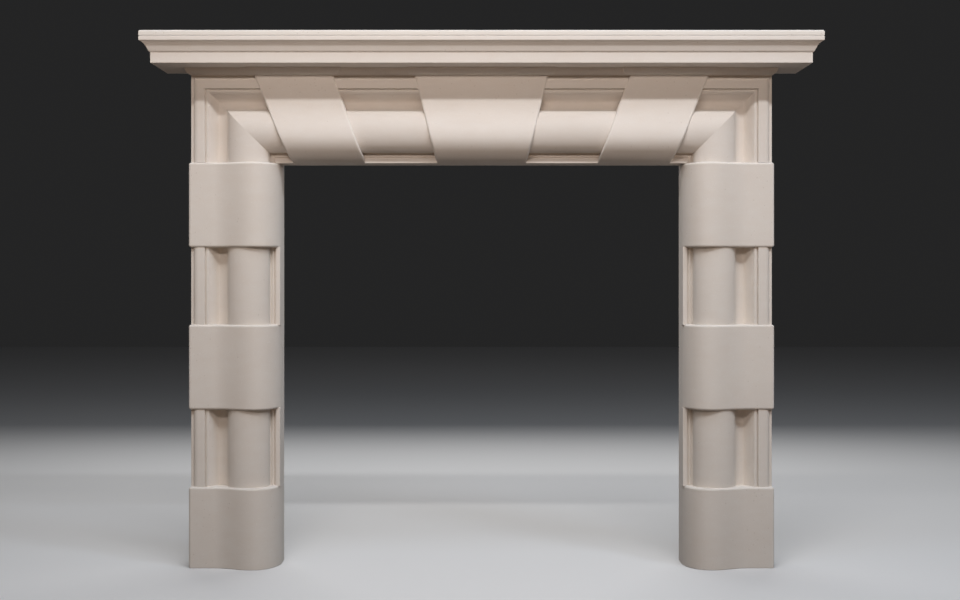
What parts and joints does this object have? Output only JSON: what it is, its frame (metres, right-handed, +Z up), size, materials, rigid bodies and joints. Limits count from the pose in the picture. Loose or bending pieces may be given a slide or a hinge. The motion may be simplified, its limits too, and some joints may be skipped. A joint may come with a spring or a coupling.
{
  "type": "fireplace mantelpiece",
  "caption": "Carved pale stone chimneypiece with blocked jambs, a mitred moulding round a square opening, leaning keystones and a moulded shelf.",
  "frame": {"origin": "middle of the footprint, on the floor the jambs stand on", "axes": "+X along the wall, to the right as seen from the room; +Y into the wall; +Z up"},
  "size_m": [1.711, 0.2374, 1.3643],
  "materials": {
    "stone": "honed limestone, warm off-white"
  },
  "bodies": {
    "root": {"left_jamb": "stone", "right_jamb": "stone", "lintel": "stone", "cornice": "stone", "shelf_slab": "stone"}
  },
  "joints": []
}
